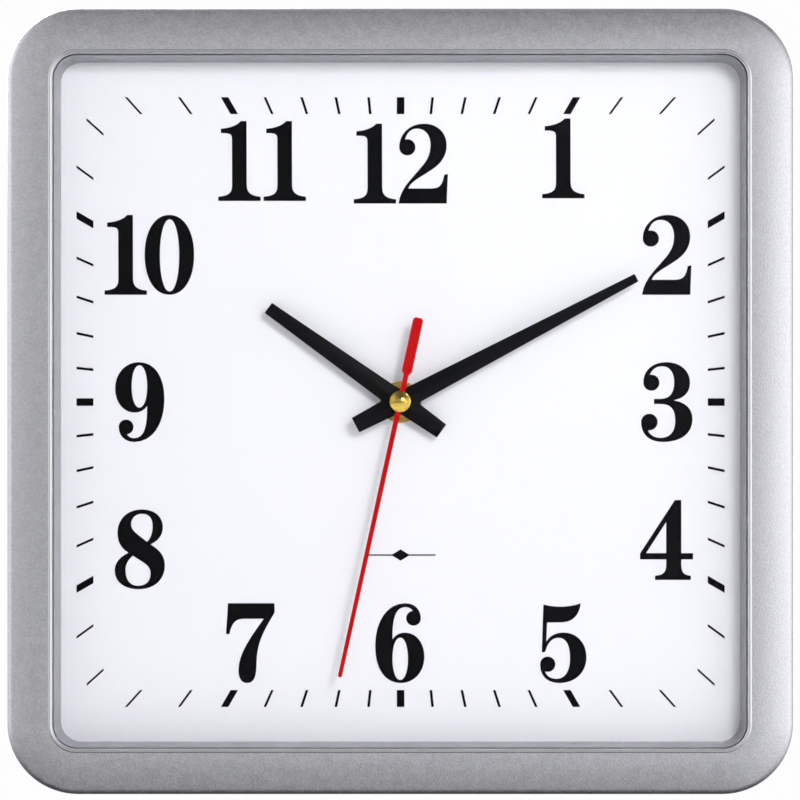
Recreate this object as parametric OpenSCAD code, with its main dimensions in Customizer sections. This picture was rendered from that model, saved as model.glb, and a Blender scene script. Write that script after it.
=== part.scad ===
// Square wall clock with a battery quartz movement.
//
// Everything is drawn on the bench: x to the right, y up, z out from the wall
// towards the reader, with the hands' axis at x = 0, y = 0. stand_up() then
// turns it on to the wall: +Z up, the dial facing -Y, the wall at Y = 0.

/* [Frame] */
// Width and height of the square frame
frame_size = 300; // [296:1:306]
// Depth from the wall to the crown of the frame's face
frame_depth = 40; // [40:0.5:42]
// Outer corner radius of the frame
corner_r = 27; // [25:0.5:32]
// Width of the frame's face, from its outer side to the window
face_w = 17.7; // [17:0.1:18]
// Wall thickness of the frame's skirt
skirt_t = 2.4; // [2:0.1:2.6]

/* [Dial] */
// Height of the numerals
numeral_h = 30.8; // [27:0.1:32]
// Width of the minute track over its outer ends
track_w = 250; // [244:0.5:252]
// Height of the minute track over its outer ends
track_h = 235.2; // [230:0.1:240]
// Length of a minute mark across the track
mark_len = 6.5; // [5:0.1:7]
// Width of a minute mark
minute_mark_w = 1.0; // [0.6:0.1:1.4]
// Width of a five-minute mark
hour_mark_w = 2.9; // [2:0.1:3.2]

/* [Hands] */
// Length of the hour hand from the axis to its tip
hour_len = 62.2; // [55:0.1:66]
// Length of the minute hand from the axis to its tip
minute_len = 102.2; // [90:0.1:104]
// Length of the second hand from the axis to its tip
second_len = 108; // [95:0.5:110]
// Length of the tails of the hour and minute hands
tail_len = 19.4; // [15:0.1:22]
// Hour hand's angle at rest, clockwise from twelve
hour_angle = 305.4; // [300:0.1:330]
// Minute hand's angle at rest
minute_angle = 62.3; // [0:0.1:359]
// Second hand's angle at rest
second_angle = 192.4; // [0:0.1:359]

/* [Movement] */
// Side of the square movement case
case_w = 56; // [56:0.5:58]
// Depth of the movement case
case_t = 16; // [16:0.1:16.2]
// Diameter of the AA cell
cell_d = 14.5; // [14:0.1:14.5]

/* [Hanger] */
// Height of the hanging slot's seat above the hands' axis
seat_y = 96; // [90:1:100]
// Radius of the keyhole's entry hole
entry_r = 5; // [4.5:0.1:5.5]
// Width of the keyhole's slot
slot_w = 4.5; // [4.2:0.1:5]

/* [Hidden] */
$fn = 64;
eps = 0.01;

// Heights above the wall, from the back to the front.
case_z0 = 5;
case_z1 = case_z0 + case_t;
plate_z0 = 22;
plate_z1 = 24.5;
dial_z = 24.9;
ink_t = 0.12;
glass_z0 = frame_depth - 3.6;
glass_z1 = frame_depth - 1.6;

// Insets from the frame's outer side.
rib_u = 13.2;
rib_t = 1.2;
glass_u = rib_u + rib_t + 0.2;
window_u = 19;
shell_u = skirt_t + 0.5;
screw_u = 8;

// Radii of the shafts and pipes, and of the wheels' arbors.
arbor_r = 0.5;
pivot_r = 0.4;
minute_pipe_r = 1.6;
minute_neck_r = 1.35;
hour_pipe_r = 2.55;
bush_r = 3.95;
run = 0.05;
pinch = 0.02;
press = 0.002;

// Places of the train's arbors, as seen from the front.
at_center = [0, 0];
rotor_reach = 5.6;
step_reach = 7.2;
third_reach = 9;
minute_reach = 7.5;
at_step = step_reach * [cos(60), sin(60)];
at_rotor = at_step + rotor_reach * [cos(20), sin(20)];
at_third = third_reach * [cos(150), sin(150)];
at_minute = minute_reach * [cos(20), -sin(20)];
at_knob = at_minute + [minute_reach, 0];

// Teeth: the leaves of a pinion and the teeth of each wheel.
leaves = 8;
step_teeth = 48;
seconds_teeth = 40;
third_teeth = 60;
center_teeth = 64;
cannon_leaves = 12;
minute_teeth = 36;
minute_leaves = 10;
hour_teeth = 40;

// Modules of the gear pairs: twice the distance over the sum of the teeth.
m_rotor = 2 * rotor_reach / (leaves + step_teeth);
m_step = 2 * step_reach / (leaves + seconds_teeth);
m_third = 2 * third_reach / (leaves + third_teeth);
m_center = 2 * third_reach / (leaves + center_teeth);
m_motion = 2 * minute_reach / (cannon_leaves + minute_teeth);
m_hour = 2 * minute_reach / (minute_leaves + hour_teeth);

// Levels of the wheels and pinions, from the back to the front.
magnet_z = [8, 10];
rotor_pinion_z = [10.2, 11.6];
step_wheel_z = [10.5, 11.3];
step_pinion_z = [11.2, 13];
seconds_wheel_z = [12, 12.8];
seconds_pinion_z = [12.7, 14.5];
third_wheel_z = [13.6, 14.4];
third_pinion_z = [14.3, 16.8];
center_wheel_z = [15.6, 16.4];
motion_z = [17.4, 18.2];
minute_pinion_z = [18.1, 19.4];
hour_wheel_z = [18.6, 19.4];

// Places of things that more than one piece shares.
plate_posts = [[-12.5, -6.5], [11.2, -7.5], [2.5, 14.8]];
cell_y = -19.6;
cell_z = 12.6;
core_y = 21.5;
core_z = 10.2;
turret_w = 44;
turret_h = 36;
turret_z = 1.6;
entry_y = seat_y - 12;

// ---------------------------------------------------------------- helpers

module stand_up() {
  rotate([90, 0, 0]) children();
}

// A thing drawn along +y, turned to a clock angle.
module at_clock(angle) {
  rotate([0, 0, -angle]) children();
}

module rounded_rect(w, h, r) {
  square([w - 2 * r, h], center = true);
  square([w, h - 2 * r], center = true);
  for (x = [-1, 1], y = [-1, 1])
    translate([x * (w / 2 - r), y * (h / 2 - r)]) circle(r);
}

module slab(w, h, r, z0, z1) {
  translate([0, 0, z0]) linear_extrude(z1 - z0) rounded_rect(w, h, r);
}

// A block given by its ends along each axis.
module block(x, y, z) {
  translate([x[0], y[0], z[0]]) cube([x[1] - x[0], y[1] - y[0], z[1] - z[0]]);
}

module rod(at, r, z0, z1) {
  translate([at[0], at[1], z0]) cylinder(h = z1 - z0, r = r);
}

// Sweeps a profile round the square: x is the inset from the outer side, y the height.
module round_the_frame(size, r) {
  half = size / 2 - r;
  for (k = [0:3]) rotate([0, 0, 90 * k]) {
    translate([-half, -size / 2, 0]) rotate([90, 0, 90]) linear_extrude(2 * half) children();
    translate([half, -half, 0]) rotate([0, 0, -90]) rotate_extrude(angle = 90)
      translate([r, 0]) mirror([1, 0]) children();
  }
}

function arc(c, r, a0, a1, n) = [
  for (i = [0:n]) let (a = a0 + (a1 - a0) * i / n) [c[0] + r * cos(a), c[1] + r * sin(a)]
];

// Points along a cubic curve, without its last one.
function curve(p, q, r, s, n = 8) = [
  for (i = [0:n - 1]) let (t = i / n, u = 1 - t)
    u * u * u * p + 3 * u * u * t * q + 3 * u * t * t * r + t * t * t * s
];

function oval(c, rx, ry, power = 2, n = 40) = [
  for (i = [0:n - 1]) let (a = 360 * i / n, x = cos(a), y = sin(a))
    [c[0] + rx * sign(x) * pow(abs(x), 2 / power), c[1] + ry * sign(y) * pow(abs(y), 2 / power)]
];

// ------------------------------------------------------------------ gears

tooth_share = 0.74;
addendum = 0.75;
dedendum = 1.15;

// Clock-form teeth: radial flanks up to the pitch circle and a tapered tip.
function gear_outline(teeth, m, phase) = let (
    r = m * teeth / 2,
    half = tooth_share * 90 / teeth,
    tip = 0.45 * half
  ) [
    for (i = [0:teeth - 1], p = [
      [r - dedendum * m, -half], [r, -half], [r + addendum * m, -tip],
      [r + addendum * m, tip], [r, half], [r - dedendum * m, half]
    ]) let (a = phase + 360 * i / teeth + p[1]) p[0] * [cos(a), sin(a)]
  ];

// The phase at which a gear meshes with one whose phase is f1, seen in direction a.
function mesh_phase(n1, f1, a, n2) = a + 180 + (n1 / n2) * (a - f1) - 180 / n2;

function heading(p, q) = atan2(q[1] - p[1], q[0] - p[0]);

// Seconds wheel, its pinion, the third pinion, the cannon pinion and the minute
// pinion start at phase 0, and the wheels that mesh with them follow.
f_step_pinion = mesh_phase(seconds_teeth, 0, heading(at_center, at_step), leaves);
f_rotor = mesh_phase(step_teeth, 0, heading(at_step, at_rotor), leaves);
f_third_wheel = mesh_phase(leaves, 0, heading(at_center, at_third), third_teeth);
f_center = mesh_phase(leaves, 0, heading(at_third, at_center), center_teeth);
f_minute_wheel = mesh_phase(cannon_leaves, 0, heading(at_center, at_minute), minute_teeth);
f_hour = mesh_phase(minute_leaves, 0, heading(at_minute, at_center), hour_teeth);
f_knob = mesh_phase(minute_teeth, f_minute_wheel, heading(at_minute, at_knob), cannon_leaves);

module gear(teeth, m, phase, z) {
  translate([0, 0, z[0]]) linear_extrude(z[1] - z[0]) polygon(gear_outline(teeth, m, phase));
}

// A twelve-sided bore through levels z whose flats stand clear of a shaft by a hair.
module flat_bore(shaft_r, gap, z) {
  translate([0, 0, z[0] - 1])
    cylinder(h = z[1] - z[0] + 2, r = (shaft_r + gap) / cos(15), $fn = 12);
}

// Lightening holes between a wheel's hub and rim.
module spokes(r, hole_r, z) {
  for (k = [0:4]) rotate([0, 0, 72 * k]) translate([r, 0, z[0] - 1])
    cylinder(h = z[1] - z[0] + 2, r = hole_r, $fn = 12);
}

// --------------------------------------------------------- case and front

// The skirt, the rolled edge, the broad face that falls away outwards, the bead
// and the glass seat.
function frame_profile() = let (
    roll = 3.2,
    tilt = 15,
    bead = 0.8,
    bead_u = face_w - bead,
    proud = 0.4,
    clip = 2.4,
    foot = asin((bead - proud) / bead),
    top = frame_depth - proud,
    u0 = roll * (1 - sin(tilt)),
    u1 = bead_u - bead * cos(foot),
    bend = tan(tilt) / (2 * (u1 - u0)),
    roll_z = top - bend * pow(u1 - u0, 2) - roll * cos(tilt)
  ) concat(
    [[0, 0]],
    arc([roll, roll_z], roll, 180, 90 + tilt, 6),
    [for (i = [1:8]) let (u = u0 + (u1 - u0) * i / 8) [u, top - bend * pow(u1 - u, 2)]],
    arc([bead_u, frame_depth - bead], bead, 180 - foot, 0, 5),
    [
      [face_w, glass_z1], [rib_u + rib_t, glass_z1], [rib_u + rib_t, glass_z0 - clip],
      [rib_u, glass_z0 - clip], [rib_u, frame_depth - 2.9], [5.2, frame_depth - 4.1],
      [skirt_t, frame_depth - 7], [skirt_t, 0]
    ]
  );

screw_places = let (
    side = frame_size / 2 - screw_u,
    corner = frame_size / 2 - corner_r + (corner_r - screw_u) * cos(45)
  ) [
    for (k = [0:3]) each [
      [corner * (k % 2 == 0 ? 1 : -1), corner * (k < 2 ? 1 : -1)],
      [side * [1, 0, -1, 0][k], side * [0, 1, 0, -1][k]]
    ]
  ];
boss_r = 3.4;
boss_hole_r = 1.35;
screw_r = 1.5;
screw_tip_z = plate_z1 + 8.5;

module front_frame() {
  color("silver") stand_up() difference() {
    union() {
      round_the_frame(frame_size, corner_r) polygon(frame_profile());
      for (p = screw_places) rod(p, boss_r, plate_z1, frame_depth - 3);
    }
    for (p = screw_places) rod(p, boss_hole_r, plate_z1 - 1, screw_tip_z + 1);
  }
}

module window_glass() {
  w = frame_size - 2 * glass_u;
  color([0.85, 0.92, 0.95, 0.25]) stand_up()
    slab(w, w, corner_r - glass_u, glass_z0, glass_z1);
}

// The wall that shows between the glass and the dial, an outward-open channel.
module spacer_frame() {
  u = glass_u + 0.1;
  lean = 0.9;
  t = 1.25;
  color("lightgray") stand_up() round_the_frame(frame_size, corner_r) polygon([
    [u, glass_z0], [window_u - lean, glass_z0], [window_u, dial_z], [u, dial_z],
    [u, dial_z + t], [window_u - t, dial_z + t],
    [window_u - lean - t, glass_z0 - t], [u, glass_z0 - t]
  ]);
}

module dial_sheet() {
  w = frame_size - 2 * (glass_u + 0.1);
  color("ghostwhite") stand_up() difference() {
    slab(w, w, corner_r - glass_u - 0.1, plate_z1, dial_z);
    rod(at_center, bush_r + 0.15, plate_z1 - 1, dial_z + 1);
  }
}

// ------------------------------------------------------------- dial print

// Each figure is drawn in an em a hundred high, from its left foot.
fig_0 = oval([31, 50], 31, 50, 2.15);
hole_0 = oval([31.2, 49.3], 12.1, 45.2, 2.1);
fig_1 = concat(
  [[0.5, 0], [53.6, 0]],
  curve([53.6, 5.2], [44, 6], [36.8, 9], [36.2, 18], 5),
  [[36.2, 18], [36, 100]],
  curve([28.7, 100], [25, 95], [15, 91], [3.8, 90.4], 5),
  [[3.8, 90.4]],
  curve([3.8, 84.9], [10, 84.9], [17.7, 85.5], [17.7, 79], 5),
  [[17.7, 79]],
  curve([17.9, 18], [17.5, 9], [12, 6], [0.5, 5.3], 5),
  [[0.5, 5.3]]
);
fig_2 = concat(
  [[0.4, 0], [60.8, 0], [62.3, 37]],
  curve([57.7, 36], [55.5, 24], [53, 18.8], [42, 18.8], 5),
  [[42, 18.8]],
  curve([12.5, 18.8], [16, 28], [27, 32], [42, 42.3], 5),
  curve([42, 42.3], [54, 50], [60.8, 60], [60.8, 73]),
  curve([60.8, 73], [60.8, 89], [49, 100], [32.7, 100]),
  curve([32.7, 100], [13, 100], [1.3, 86], [1.3, 70.4]),
  [[1.3, 70.4]],
  curve([8.5, 80], [11, 89], [16, 93.8], [23.3, 93.8], 5),
  curve([23.3, 93.8], [34, 93.8], [40.6, 86], [40.6, 72.5]),
  curve([40.6, 72.5], [40.6, 57], [32, 49], [25.4, 41.3], 5),
  curve([25.4, 41.3], [14, 28], [3, 18], [0.4, 0], 6)
);
fig_3 = concat(
  curve([3.4, 74.3], [3.4, 90], [15, 100], [32.4, 100]),
  curve([32.4, 100], [50, 100], [61.9, 89], [61.9, 74.7]),
  curve([61.9, 74.7], [61.9, 62], [55, 55], [41.5, 52.2], 6),
  curve([41.5, 52.2], [56, 50], [65, 42], [65, 28.8], 6),
  curve([65, 28.8], [65, 10], [50, 0], [28, 0]),
  curve([28, 0], [10, 0], [0.6, 10], [0.6, 25]),
  [[0.6, 25]],
  curve([9, 14.8], [12, 8], [18, 5.2], [25, 5.2], 5),
  curve([25, 5.2], [37, 5.2], [43.4, 13], [43.4, 27]),
  curve([43.4, 27], [43.4, 42], [37, 47.6], [25, 47.6], 6),
  [[25, 47.6], [16.7, 47.6], [16.7, 54]],
  curve([25, 54], [36, 54], [42.1, 61], [42.1, 74.7], 6),
  curve([42.1, 74.7], [42.1, 88], [36, 94.8], [27, 94.8], 6),
  curve([27, 94.8], [20, 94.8], [15, 92], [11.5, 84.2], 5),
  [[11.5, 84.2]]
);
fig_4 = concat(
  [[18.8, 0], [63.7, 0]],
  curve([63.7, 5.3], [56, 5.6], [51.7, 9], [51.7, 18], 5),
  [
    [51.7, 18], [51.7, 25.7], [66.5, 25.7], [66.5, 33.5], [51.7, 33.5],
    [51.7, 100], [43.7, 100], [0, 33.1], [0, 25.7], [32.8, 25.7]
  ],
  curve([32.8, 18], [32.8, 9], [28, 5.6], [18.8, 5.3], 5),
  [[18.8, 5.3]]
);
hole_4 = [[32.8, 72.5], [32.8, 33.5], [7.6, 33.5]];
fig_5 = concat(
  curve([4.6, 98.5], [18, 94.5], [38, 94.5], [51.5, 100], 6),
  curve([51.5, 100], [50, 86], [42, 76.4], [28, 76], 6),
  [[28, 76], [9.2, 75.8]],
  curve([8.2, 52], [13, 60], [21, 63.3], [30, 63.3], 5),
  curve([30, 63.3], [47, 63.3], [58.6, 50], [58.6, 32.4]),
  curve([58.6, 32.4], [58.6, 13], [44, 0], [25, 0]),
  curve([25, 0], [10, 0], [0.4, 8], [0.4, 23.6], 6),
  [[0.4, 23.6]],
  curve([6.5, 14.7], [9, 8.5], [14, 5.3], [21, 5.3], 5),
  curve([21, 5.3], [32, 5.3], [38, 15], [38, 31], 6),
  curve([38, 31], [38, 48], [33, 56.8], [23.4, 56.8], 6),
  curve([23.4, 56.8], [15, 56.8], [9.5, 50], [6.8, 39], 5),
  [[6.8, 39], [2.6, 38.4]]
);
fig_6 = concat(
  curve([57.3, 81.2], [57, 93], [49, 100], [37.7, 100], 6),
  curve([37.7, 100], [15, 100], [0, 78], [0, 46]),
  curve([0, 46], [0, 18], [12, 0], [32, 0]),
  curve([32, 0], [49, 0], [61.7, 14], [61.7, 33]),
  curve([61.7, 33], [61.7, 51], [51, 63.2], [37.5, 63.2]),
  curve([37.5, 63.2], [31, 63.2], [25.5, 60.5], [21.7, 55], 5),
  curve([21.7, 55], [21.3, 80], [25, 95.2], [38, 95.2]),
  curve([38, 95.2], [42, 95.2], [45, 93.5], [47, 90.4], 4),
  [[47, 90.4]]
);
hole_6 = oval([31.35, 30.4], 9.75, 26.5, 2.1);
fig_7 = concat(
  [[2.8, 100], [61, 100]],
  curve([61.4, 88.6], [50, 69], [38.6, 52], [38.6, 25]),
  curve([38.6, 25], [38.6, 9], [36, 0], [27, 0], 6),
  curve([27, 0], [19, 0], [16, 7], [16, 16], 6),
  curve([16, 16], [16, 38], [32, 58], [47.5, 80.5]),
  [[47.5, 80.5]],
  curve([21.6, 80.5], [12, 80.5], [7, 74], [4.7, 61.4], 6),
  [[4.7, 61.4], [0.4, 61.4]]
);
fig_8 = concat(
  curve([34.2, 100], [50, 100], [60.4, 91], [60.4, 77.5]),
  curve([60.4, 77.5], [60.4, 68], [55, 61], [45, 56.1], 6),
  curve([45, 56.1], [57, 49], [62.9, 41], [62.9, 30], 6),
  curve([62.9, 30], [62.9, 12], [50, 0], [30, 0]),
  curve([30, 0], [12, 0], [0, 9], [0, 23.7]),
  curve([0, 23.7], [0, 33], [6, 40.5], [17.2, 45.7], 6),
  curve([17.2, 45.7], [7, 52], [3.5, 60], [3.5, 71], 6),
  curve([3.5, 71], [3.5, 88], [16, 100], [34.2, 100])
);
hole_8_top = concat(
  curve([40.5, 59.4], [45.5, 64], [47.5, 71], [47.5, 79.4], 6),
  curve([47.5, 79.4], [47.5, 89], [43, 94.5], [34.2, 94.5], 6),
  curve([34.2, 94.5], [26, 94.5], [20.5, 89], [20.5, 81], 6),
  curve([20.5, 81], [20.5, 73], [30, 68], [40.5, 59.4], 6)
);
hole_8_foot = concat(
  curve([23, 42], [34, 34], [45, 31], [45, 20], 6),
  curve([45, 20], [45, 10], [39, 4.3], [29.3, 4.3], 6),
  curve([29.3, 4.3], [19, 4.3], [13.5, 12], [13.5, 24], 6),
  curve([13.5, 24], [13.5, 31], [17, 37.5], [23, 42], 6)
);

// The round ends of the strokes of 2, 3, 5 and 6.
module ball(c, r) {
  polygon(oval(c, r, r, 2, 24));
}

module figure(digit) {
  if (digit == 0) difference() {
    polygon(fig_0);
    polygon(hole_0);
  }
  if (digit == 1) polygon(fig_1);
  if (digit == 2) {
    polygon(fig_2);
    ball([11.5, 70.4], 10.2);
  }
  if (digit == 3) {
    polygon(fig_3);
    ball([13.5, 74.3], 10.1);
    ball([11, 25], 10.4);
  }
  if (digit == 4) difference() {
    polygon(fig_4);
    polygon(hole_4);
  }
  if (digit == 5) {
    polygon(fig_5);
    ball([10, 23.6], 9.6);
  }
  if (digit == 6) {
    difference() {
      polygon(fig_6);
      polygon(hole_6);
    }
    ball([48, 81.2], 9.3);
  }
  if (digit == 7) polygon(fig_7);
  if (digit == 8) difference() {
    polygon(fig_8);
    polygon(hole_8_top);
    polygon(hole_8_foot);
  }
  if (digit == 9) translate([61.7, 100]) rotate(180) figure(6);
}

// Each figure's width, in hundredths of its height, and the gap inside 10, 11 and 12.
fig_w = [62, 53.6, 62.3, 65, 66.5, 58.6, 61.7, 61.4, 62.9, 61.7];
pair_gap = [-2.9, 3.2, 2.6];

// Where each hour stands: columns at the sides, rows at the top and bottom.
side_x = 102.6;
row_y = 56.8;
top_y = 93;
hour_places = [
  [62.7, top_y + 1], [side_x, row_y], [side_x, 0], [side_x, -53.2], [62.7, -top_y],
  [-0.3, -top_y], [-58, -top_y], [-side_x + 2, -row_y], [-side_x + 2, 0],
  [-97, row_y], [-53.5, top_y], [0, top_y - 1]
];

module numeral(hour) {
  k = numeral_h / 100;
  one = hour > 9;
  last = one ? hour - 10 : hour;
  gap = one ? pair_gap[last] : 0;
  w = fig_w[last] + (one ? fig_w[1] + gap : 0);
  scale([k, k, 1]) translate([-w / 2, -50]) {
    if (one) figure(1);
    translate([one ? fig_w[1] + gap : 0, 0]) figure(last);
  }
}

module dial_numerals() {
  color("black") stand_up() translate([0, 0, dial_z]) linear_extrude(ink_t)
    for (h = [1:12]) translate(hour_places[h - 1]) numeral(h);
}

// A mark between two lines at heights y0 and y1, on the ray at angle a from the y axis.
module ray_mark(a, w, y0, y1) {
  polygon([
    [y0 * tan(a) - w / 2, y0], [y1 * tan(a) - w / 2, y1],
    [y1 * tan(a) + w / 2, y1], [y0 * tan(a) + w / 2, y0]
  ]);
}

module dial_marks() {
  corner = atan(track_w / track_h);
  inset = 3.9;
  rule_y = -59;
  rule_w = 27;
  color("black") stand_up() translate([0, 0, dial_z]) linear_extrude(ink_t) {
    for (i = [-7:7], turn = [0, 180]) rotate(turn)
      ray_mark(6 * i, i % 5 == 0 ? hour_mark_w : minute_mark_w, track_h / 2 - mark_len, track_h / 2);
    for (i = [-7:7], turn = [90, 270]) let (
      near_corner = abs(abs(6 * i) - (90 - corner)) < 2,
      outer = track_w / 2 - (near_corner ? inset : 0)
    ) rotate(turn)
      ray_mark(6 * i, i % 5 == 0 ? hour_mark_w : minute_mark_w, outer - mark_len, outer);
    translate([0, rule_y]) {
      square([rule_w, 0.5], center = true);
      polygon([[-3.6, 0], [0, 2.2], [3.6, 0], [0, -2.2]]);
    }
  }
}

// ------------------------------------------------------------- back shell

module back_shell() {
  w = frame_size - 2 * shell_u;
  rim_t = 1.8;
  rim_h = 6;
  cradle = case_w + 0.8;
  cradle_t = 2;
  cradle_h = 5;
  rib_x = 22;
  rib_half_t = 0.8;
  turret_t = 2;
  color("dimgray") stand_up() difference() {
    union() {
      slab(w, w, corner_r - shell_u, plate_z0, plate_z1);
      difference() {
        slab(w, w, corner_r - shell_u, plate_z0 - rim_h, plate_z0 + eps);
        slab(w - 2 * rim_t, w - 2 * rim_t, corner_r - shell_u - rim_t, plate_z0 - 7, plate_z0 + 1);
      }
      difference() {
        slab(cradle + 2 * cradle_t, cradle + 2 * cradle_t, 4, plate_z0 - cradle_h, plate_z0 + eps);
        slab(cradle, cradle, 2, plate_z0 - 6, plate_z0 + 1);
      }
      for (k = [0:3]) rotate([0, 0, 90 * k]) for (x = [-rib_x, rib_x])
        block([x - rib_half_t, x + rib_half_t], [cradle / 2 + 1, w / 2 - 1], [plate_z0 - 3, plate_z0 + eps]);
      translate([0, seat_y - 6, 0]) slab(turret_w, turret_h, 5, turret_z, plate_z0 + eps);
    }
    translate([0, seat_y - 6, 0])
      slab(turret_w - 2 * turret_t, turret_h - 2 * turret_t, 3, turret_z + 2.6, plate_z0);
    rod([0, entry_y], entry_r, 0, turret_z + 3);
    rod([0, seat_y], slot_w / 2, 0, turret_z + 3);
    block([-slot_w / 2, slot_w / 2], [entry_y, seat_y], [0, turret_z + 3]);
    rod(at_center, bush_r + 0.15, plate_z0 - 1, plate_z1 + 1);
    for (p = screw_places) rod(p, screw_r + 0.3, plate_z0 - 1, plate_z1 + 1);
  }
}

// Pan-head self-tapping screws with a cross recess.
module case_screws() {
  head_r = 2.8;
  head_h = 1.9;
  cross = [3.2, 0.7, 2.2];
  color("gray") stand_up() for (p = screw_places) difference() {
    union() {
      rod(p, head_r, plate_z0 - head_h, plate_z0);
      rod(p, screw_r, plate_z0 - 1, screw_tip_z);
    }
    for (a = [0, 90]) translate([p[0], p[1], plate_z0 - head_h]) rotate([0, 0, a])
      cube(cross, center = true);
  }
}

module rubber_washer() {
  color("black") stand_up() difference() {
    rod(at_center, 13, case_z1, plate_z0);
    rod(at_center, bush_r + 0.25, case_z1 - 1, plate_z0 + 1);
  }
}

bush_z0 = 19.7;
bush_z1 = 28.4;
bush_flange_r = 5;
bush_flange_z = 20.6;
washer_z1 = dial_z + 0.5;
nut_z1 = washer_z1 + 2;

module threaded_bush() {
  color("gold") stand_up() difference() {
    union() {
      rod(at_center, bush_flange_r, bush_z0, bush_flange_z);
      rod(at_center, bush_r, bush_z0, bush_z1);
    }
    rod(at_center, hour_pipe_r + run, bush_z0 - 1, bush_z1 + 1);
  }
}

module brass_washer() {
  color("goldenrod") stand_up() difference() {
    rod(at_center, 8, dial_z, washer_z1);
    rod(at_center, bush_r + 0.1, dial_z - 1, washer_z1 + 1);
  }
}

module hex_nut() {
  flats = 11.1;
  color("goldenrod") stand_up() difference() {
    translate([0, 0, washer_z1]) cylinder(h = nut_z1 - washer_z1, r = flats / 2 / cos(30), $fn = 6);
    rod(at_center, bush_r - pinch, washer_z1 - 1, nut_z1 + 1);
  }
}

// --------------------------------------------------------------- movement

floor_z = 6.6;
cover_z = 19.6;
chamber_x = 26.4;
chamber_y = [-10.4, 26.4];
bay_y = [-27, -12.15];
bay_z = 20;
middle_z = [14.6, 15.4];
pivot_z = 5.8;
seat_depth = 1.1;
tab_z = [8, 12];
post_r = 0.8;
knob_shaft_r = 1.2;
knob_tip_r = 0.6;

module movement_base() {
  color("darkslategray") stand_up() difference() {
    union() {
      difference() {
        slab(case_w, case_w, 3, case_z0, case_z1);
        block([-chamber_x, chamber_x], chamber_y, [floor_z, case_z1 + 1]);
      }
      for (p = plate_posts) {
        rod(p, 1.5, floor_z - 1, middle_z[0]);
        rod(p, 0.7, floor_z, middle_z[1] + 0.2);
      }
    }
    block([-chamber_x, chamber_x], bay_y, [case_z0 - 1, bay_z]);
    for (x = [-1, 1]) scale([x, 1, 1])
      block([25.9, chamber_x], [bay_y[1] - 1, chamber_y[0] + 1], tab_z + [-0.1, 0.1]);
    for (p = [at_center, at_third, at_step, at_rotor])
      rod(p, (p == at_center ? arbor_r : pivot_r) + run, floor_z - seat_depth, floor_z + 1);
    rod(at_knob, knob_shaft_r + run, case_z0 - 1, floor_z + 1);
  }
}

module movement_cover() {
  gap = 0.1;
  color("slategray") stand_up() difference() {
    union() {
      block([-chamber_x + gap, chamber_x - gap], chamber_y + [gap, -gap], [cover_z, case_z1]);
      rod(at_minute, post_r, motion_z[0] - 0.3, cover_z + 0.5);
    }
    rod(at_center, bush_r - pinch, cover_z - 1, case_z1 + 1);
    rod(at_center, bush_flange_r + pinch, cover_z - 1, bush_flange_z);
    rod(at_third, pivot_r + run, cover_z - 1, cover_z + 0.9);
    rod(at_knob, knob_tip_r + run, cover_z - 1, cover_z + 0.9);
  }
}

module middle_plate() {
  color("darkkhaki") stand_up() difference() {
    translate([0, 0, middle_z[0]]) linear_extrude(middle_z[1] - middle_z[0])
      polygon([[-15, -9], [12.4, -9.5], [12.4, 11], [5, 17.2], [0, 17.2], [-15, 8]]);
    rod(at_center, arbor_r + run, middle_z[0] - 1, middle_z[1] + 1);
    rod(at_third, 1.4, middle_z[0] - 1, middle_z[1] + 1);
    rod(at_step, pivot_r + run, middle_z[0] - 1, middle_z[1] + 1);
    rod(at_rotor, pivot_r + run, middle_z[0] - 1, middle_z[1] + 1);
    for (p = plate_posts) rod(p, 0.75, middle_z[0] - 1, middle_z[1] + 1);
  }
}

// ------------------------------------------------------------------ hands

hand_slope = 0.22;

// A strip folded along its middle, with the fold up, between two half widths.
module folded_hand(len, w0, w1, tail, tail_w, ridge_z, t) {
  b = 5;
  drop = hand_slope * b;
  intersection() {
    translate([0, len + 1, 0]) rotate([90, 0, 0]) linear_extrude(len + tail + 2) polygon([
      [-b, ridge_z - drop], [0, ridge_z], [b, ridge_z - drop],
      [b, ridge_z - drop - t], [0, ridge_z - t], [-b, ridge_z - drop - t]
    ]);
    translate([0, 0, ridge_z - 3]) linear_extrude(4) polygon([
      [-tail_w / 2, -tail], [-w0 / 2, 0], [-w1 / 2, len], [w1 / 2, len],
      [w0 / 2, 0], [tail_w / 2, -tail]
    ]);
  }
}

hour_ridge = 30.4;
minute_ridge = 32.2;
second_z = [33.3, 33.7];

module hour_hand() {
  color([0.04, 0.04, 0.05]) stand_up() at_clock(hour_angle) difference() {
    union() {
      folded_hand(hour_len, 7.8, 4.8, tail_len, 6.2, hour_ridge, 0.45);
      rod(at_center, 4.6, hour_ridge - 1.3, hour_ridge - 0.7);
      rod(at_center, 3.4, bush_z1 + 0.3, hour_ridge - 0.4);
    }
    rod(at_center, hour_pipe_r - pinch, bush_z1, hour_ridge + 1);
  }
}

module minute_hand() {
  color([0.04, 0.04, 0.05]) stand_up() at_clock(minute_angle) difference() {
    union() {
      folded_hand(minute_len, 7.6, 3.2, tail_len, 6.2, minute_ridge, 0.4);
      rod(at_center, 4.2, minute_ridge - 1.2, minute_ridge - 0.7);
      rod(at_center, 2.4, minute_ridge - 1.4, minute_ridge - 0.3);
    }
    rod(at_center, minute_pipe_r - pinch, hour_ridge, minute_ridge + 1);
  }
}

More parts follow.
